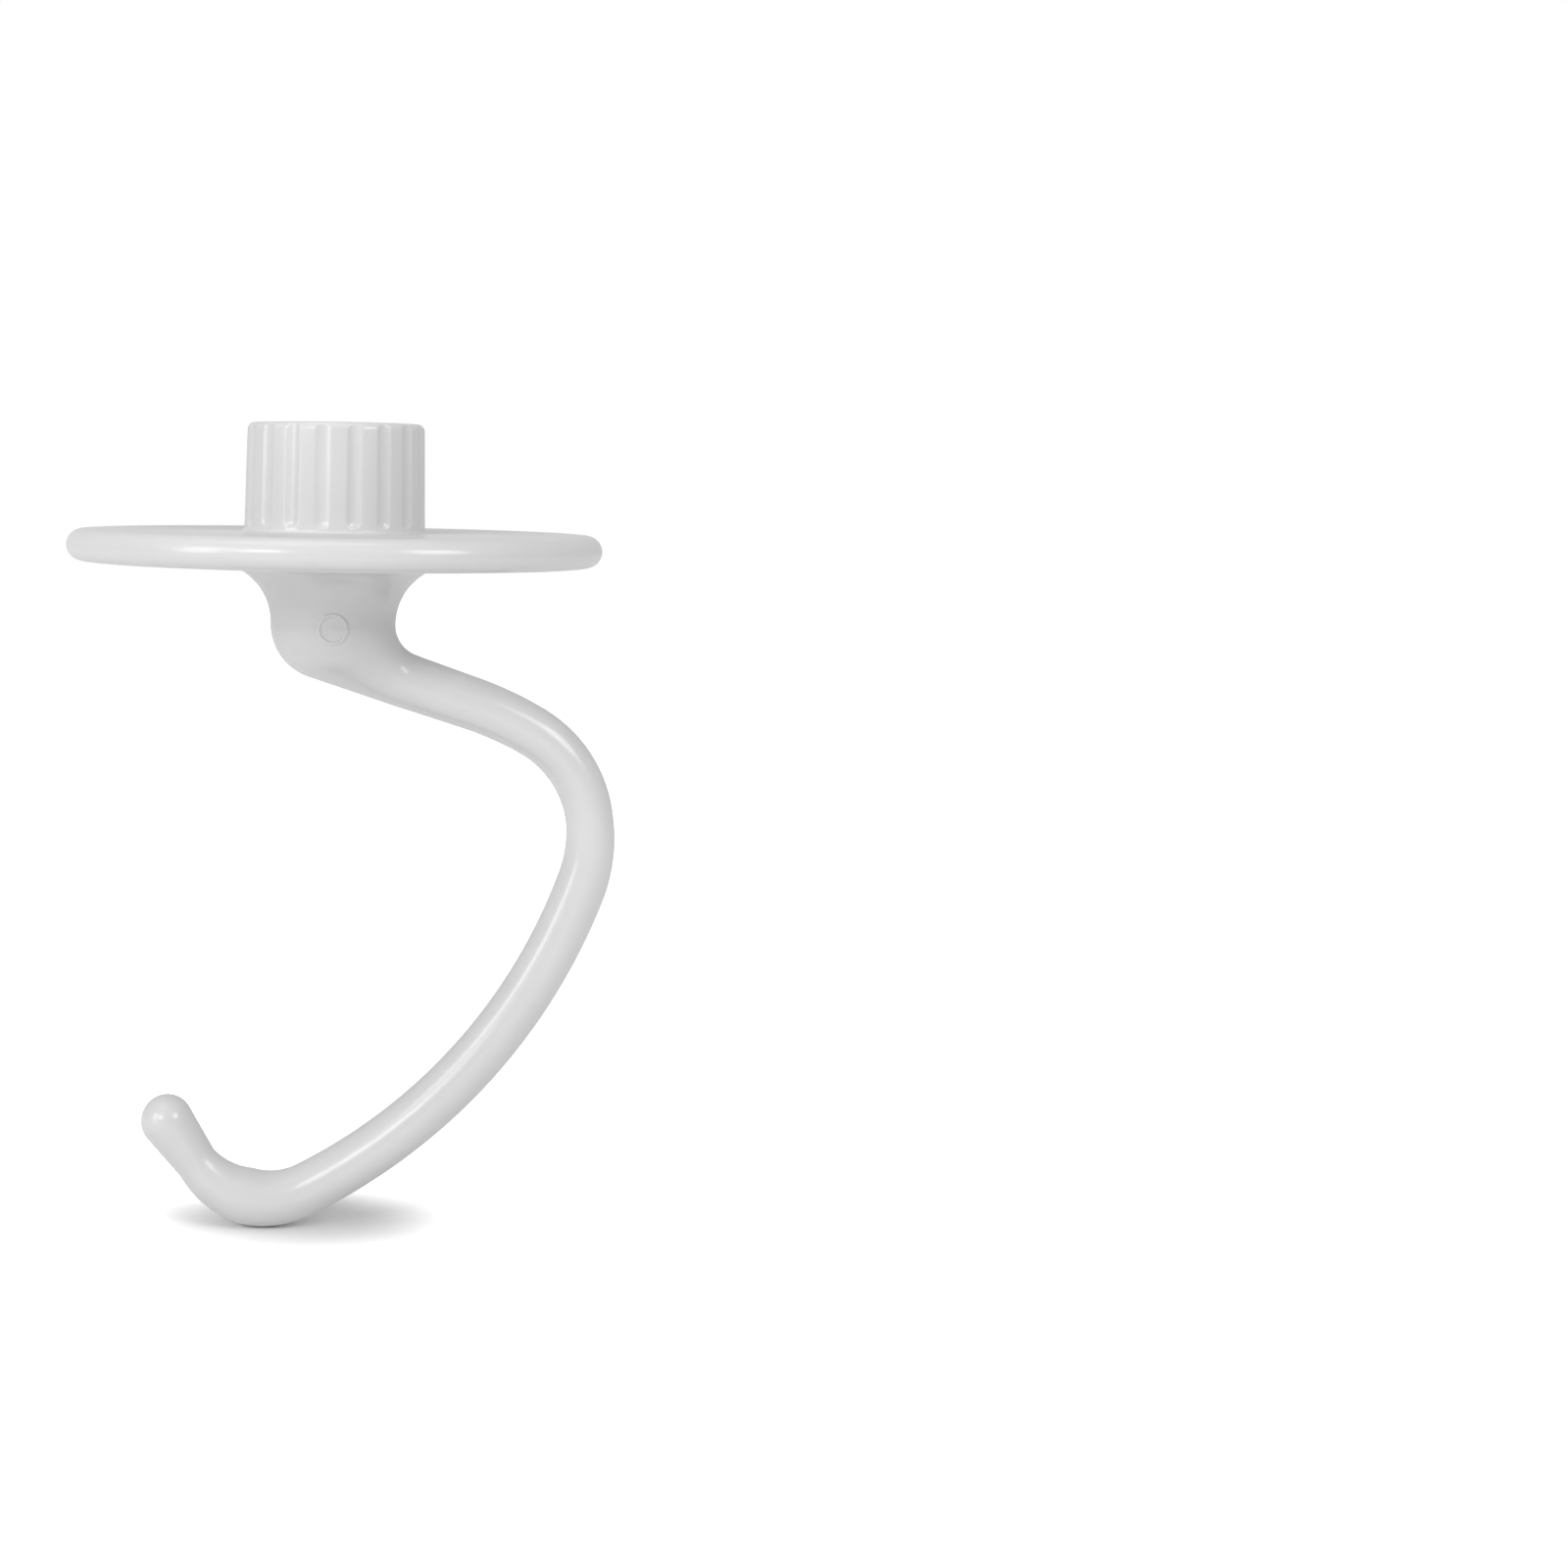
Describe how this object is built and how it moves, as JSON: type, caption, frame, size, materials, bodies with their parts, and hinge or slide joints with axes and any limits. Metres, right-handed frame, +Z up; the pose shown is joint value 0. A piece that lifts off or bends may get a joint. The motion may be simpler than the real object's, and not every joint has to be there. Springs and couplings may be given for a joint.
{
  "type": "stand mixer dough hook",
  "caption": "White coated C-shaped dough hook for a stand mixer, with a fluted hub, a round dough guard and a bayonet socket for the drive shaft.",
  "frame": {"origin": "centre of the hub's open end, on the axis of the shaft bore", "axes": "+Z up along the bore, out of its mouth; the hook lies in the XZ plane and its arm leaves the neck towards +X; the front is -Y"},
  "size_m": [0.1132, 0.1094, 0.1647],
  "materials": {
    "coating": "glossy white coat on cast aluminium"
  },
  "bodies": {
    "root": {"dough_hook": "coating"}
  },
  "joints": []
}
